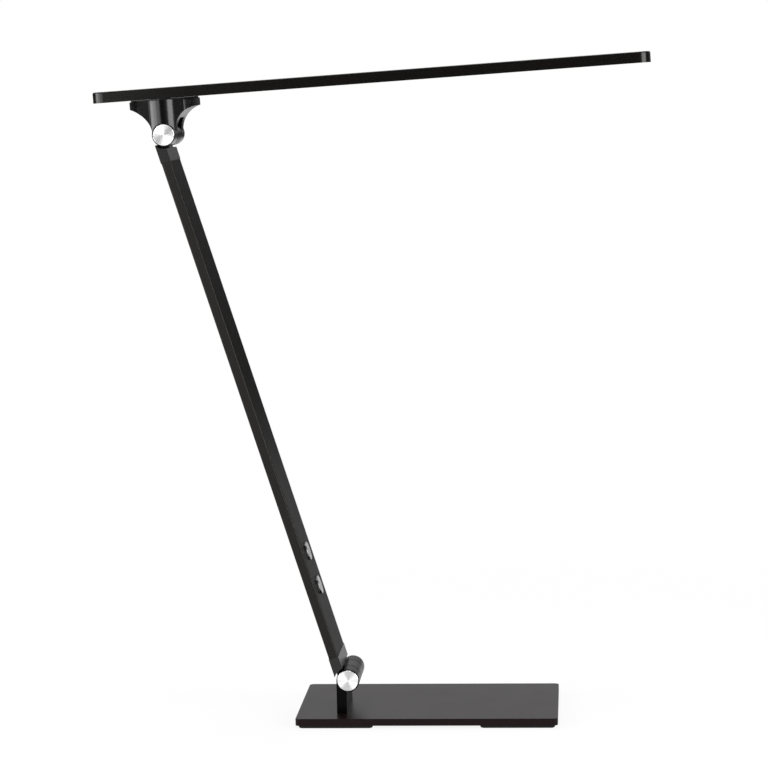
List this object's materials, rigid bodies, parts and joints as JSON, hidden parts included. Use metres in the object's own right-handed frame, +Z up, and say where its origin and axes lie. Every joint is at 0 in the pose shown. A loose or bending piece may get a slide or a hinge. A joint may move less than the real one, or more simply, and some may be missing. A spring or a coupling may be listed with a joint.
{
  "type": "folding led desk lamp",
  "caption": "Slim folding LED desk lamp: flat plate base, leaning flat arm with push buttons, barrel hinges with bright caps, and a long thin swivelling head.",
  "frame": {"origin": "centre of the base's footprint, on the plane that the foot pads stand on", "axes": "+X along the base's length, from the hinge post's side towards the free end of the head; +Y across the base, away from the side that the picture shows; +Z up"},
  "size_m": [0.3792, 0.1044, 0.4605],
  "materials": {
    "base_paint": "satin",
    "pad_rubber": "matte",
    "post_paint": "satin",
    "arm_anodised": "satin",
    "insert_metal": "satin",
    "bracket_black": "satin",
    "head_anodised": "satin",
    "cover_plastic": "matte",
    "diffuser_milk": "satin",
    "guide_clear": "gloss",
    "reflector_white": "matte",
    "strip_board": "matte",
    "chip_yellow": "gloss",
    "board_green": "satin",
    "switch_black": "matte",
    "steel": "satin",
    "cap_metal": "polished",
    "button_metal": "satin",
    "washer_polymer": "matte",
    "lead_jacket": "matte"
  },
  "bodies": {
    "base": {"base_plate": "base_paint", "foot_pad_left": "pad_rubber", "foot_pad_right": "pad_rubber", "post_screws": "steel", "hinge_post": "post_paint", "power_socket": "steel", "lower_hinge_bolt": "steel", "lower_hinge_nut": "steel", "lower_spring_washers": "steel", "lower_friction_washers": "washer_polymer", "lower_cap_front": "cap_metal", "lower_cap_back": "cap_metal"},
    "arm": {"lower_insert": "insert_metal", "arm_tube": "arm_anodised", "upper_insert": "insert_metal", "insert_screws": "steel", "switch_board": "board_green", "tact_switches": "switch_black", "arm_lead": "lead_jacket"},
    "power": {"power_button": "button_metal"},
    "dimmer": {"dimmer_button": "button_metal"},
    "bracket": {"head_bracket": "bracket_black", "upper_hinge_bolt": "steel", "upper_hinge_nut": "steel", "upper_spring_washers": "steel", "upper_friction_washers": "washer_polymer", "upper_cap_front": "cap_metal", "upper_cap_back": "cap_metal", "swivel_washer": "washer_polymer"},
    "head": {"swivel_bolt": "steel", "swivel_nut": "steel", "swivel_spring_washer": "steel", "head_housing": "head_anodised", "head_cover": "cover_plastic", "cover_screws": "steel", "diffuser": "diffuser_milk", "light_guide": "guide_clear", "reflector_sheet": "reflector_white", "led_strips": "strip_board", "led_chips": "chip_yellow", "driver_board": "board_green"}
  },
  "joints": [
    {"name": "base_tilt", "type": "hinge", "parent": "base", "child": "arm", "pos_m": [-0.0549, -0.0134, 0.0303], "axis": [0, 1, 0], "range_deg": [-26, 97]},
    {"name": "head_tilt", "type": "hinge", "parent": "arm", "child": "bracket", "pos_m": [-0.17259, -0.0134, 0.4105], "axis": [0, 1, 0], "range_deg": [-71, 75.8]},
    {"name": "head_swivel", "type": "hinge", "parent": "bracket", "child": "head", "pos_m": [-0.17462, -0.0134, 0.43503], "axis": [-0.0541, 0, 0.9985], "range_deg": [-90, 90]},
    {"name": "power_press", "type": "slide", "parent": "arm", "child": "power", "axis": [-0.9553, 0, -0.2957], "range_m": [0, 0.0006], "stiffness_N_per_m": 1500, "springref_m": -0.0004},
    {"name": "dimmer_press", "type": "slide", "parent": "arm", "child": "dimmer", "axis": [-0.9553, 0, -0.2957], "range_m": [0, 0.0006], "stiffness_N_per_m": 1500, "springref_m": -0.0004}
  ]
}
